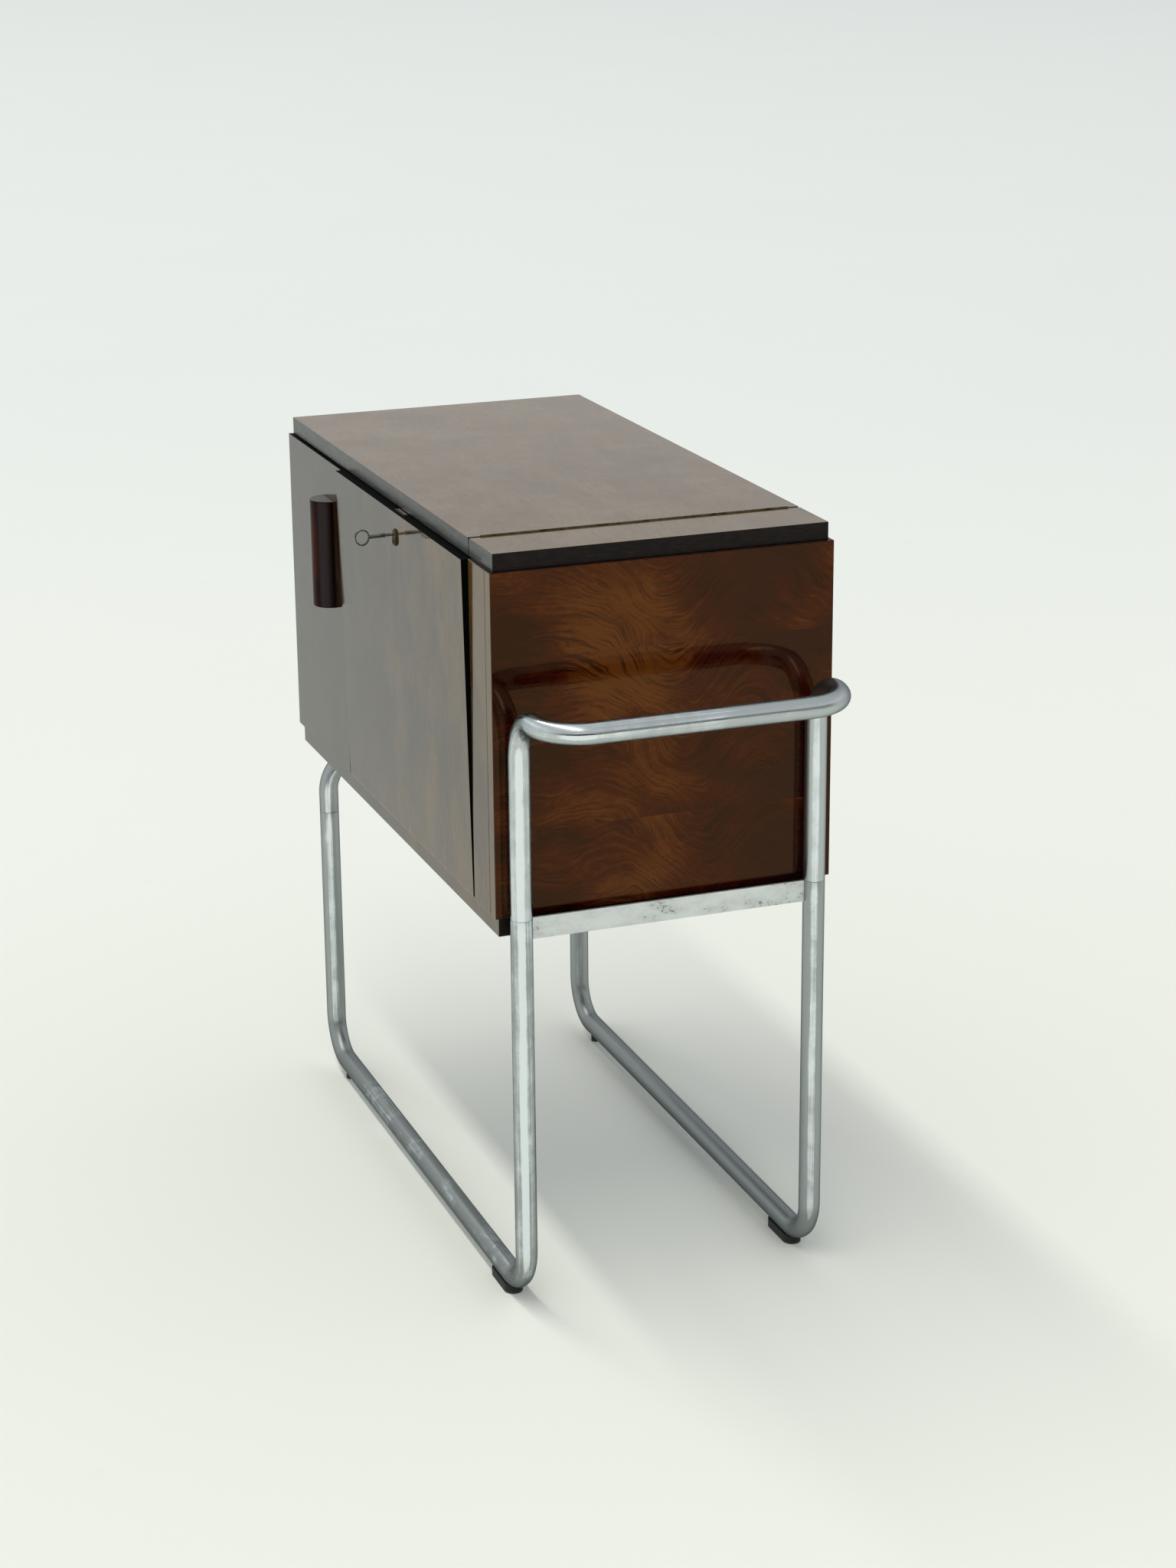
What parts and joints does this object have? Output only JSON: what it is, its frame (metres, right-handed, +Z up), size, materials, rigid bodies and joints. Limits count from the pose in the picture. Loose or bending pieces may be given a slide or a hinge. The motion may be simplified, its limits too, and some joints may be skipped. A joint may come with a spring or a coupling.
{
  "type": "bar cabinet",
  "caption": "Low bar cabinet of glossy walnut veneer on a bent chromed tube frame, with a drop-front flap, a side-hung door, a lifting lid and a serving rail.",
  "frame": {"origin": "middle of the whole object's footprint, on the floor", "axes": "+Z up, +X to the end with the rail, -Y out of the front"},
  "size_m": [0.9307, 0.4552, 0.8818],
  "materials": {
    "walnut": "clear glossy polish over figured veneer",
    "dark_wood": "glossy dark polish",
    "lining": "satin",
    "chrome_tube": "worn plating with pits and dull patches",
    "dull_steel": "dull with brown stains",
    "steel": "worn nickel",
    "brass": "aged, brown in the corners",
    "pad": "matt black"
  },
  "bodies": {
    "carcass": {"left_end_panel": "walnut", "right_end_panel": "walnut", "back_panel": "lining", "base_board": "walnut", "left_partition": "lining", "right_partition": "lining", "front_stile": "walnut", "shelf": "lining", "shelf_pins": "brass", "lid_fixed_strip": "walnut", "lid_hinge_fixed": "brass", "lid_hinge_pin": "steel", "lid_stay_stud": "steel", "flap_hinge_fixed": "brass", "flap_hinge_pin": "steel", "flap_stay_studs": "steel", "door_hinges_fixed": "brass", "door_hinge_pins": "steel", "catch_strike": "brass", "front_runner_loop": "chrome_tube", "rear_runner_loop": "chrome_tube", "left_cross_tube": "chrome_tube", "rail_hoop": "chrome_tube", "tube_spigots": "dull_steel", "cross_angle": "dull_steel", "frame_screws": "dull_steel", "saddle_pads": "pad", "left_glides": "pad"},
    "door": {"side_door": "walnut", "door_handle": "dark_wood", "handle_screws": "steel", "door_hinges_moving": "brass", "door_catch": "brass"},
    "flap": {"flap": "walnut", "flap_hinge_moving": "brass", "flap_stay_brackets": "steel", "lock_case": "brass", "escutcheon": "brass"},
    "flap_arm_left": {"flap_stay_left": "steel"},
    "flap_arm_right": {"flap_stay_right": "steel"},
    "lid": {"lid_leaf": "walnut", "lid_hinge_moving": "brass", "lid_stay_bracket": "steel", "lock_keeper": "brass"},
    "lid_arm": {"lid_stay": "steel"},
    "bolt": {"lock_bolt": "steel"},
    "key": {"key": "steel"}
  },
  "joints": [
    {"name": "flap_hinge", "type": "hinge", "parent": "carcass", "child": "flap", "pos_m": [0.0201, -0.16946, 0.471], "axis": [1, 0, 0], "range_deg": [-1, 89]},
    {"name": "door_hinge", "type": "hinge", "parent": "carcass", "child": "door", "pos_m": [-0.46315, -0.15356, 0.665], "axis": [0, 0, -1], "range_deg": [0, 180]},
    {"name": "lid_hinge", "type": "hinge", "parent": "carcass", "child": "lid", "pos_m": [0.25535, 0.02764, 0.8796], "axis": [0, 1, 0], "range_deg": [0, 100]},
    {"name": "flap_arm_left_pivot", "type": "hinge", "parent": "flap", "child": "flap_arm_left", "pos_m": [-0.21265, -0.15092, 0.61783], "axis": [1, 0, 0], "range_deg": [-45, 1]},
    {"name": "flap_arm_right_pivot", "type": "hinge", "parent": "flap", "child": "flap_arm_right", "pos_m": [0.25535, -0.15092, 0.61783], "axis": [1, 0, 0], "range_deg": [-45, 1]},
    {"name": "lid_arm_pivot", "type": "hinge", "parent": "lid", "child": "lid_arm", "pos_m": [0.13611, 0.21364, 0.8538], "axis": [0, 1, 0], "range_deg": [-50, 0]},
    {"name": "key_turn", "type": "hinge", "parent": "flap", "child": "key", "pos_m": [0.0201, -0.17868, 0.83309], "axis": [0, -0.9998, -0.0175], "range_deg": [0, 180]},
    {"name": "bolt_slide", "type": "slide", "parent": "flap", "child": "bolt", "axis": [0, -0.0175, 0.9998], "range_m": [0, 0.008]}
  ],
  "couplings": [
    {"joint": "flap_arm_left_pivot", "follows": "flap_hinge", "ratio": -0.5},
    {"joint": "flap_arm_right_pivot", "follows": "flap_hinge", "ratio": -0.5},
    {"joint": "lid_arm_pivot", "follows": "lid_hinge", "ratio": -0.5},
    {"joint": "key_turn", "follows": "bolt_slide", "rad_per_m": 392.7}
  ]
}
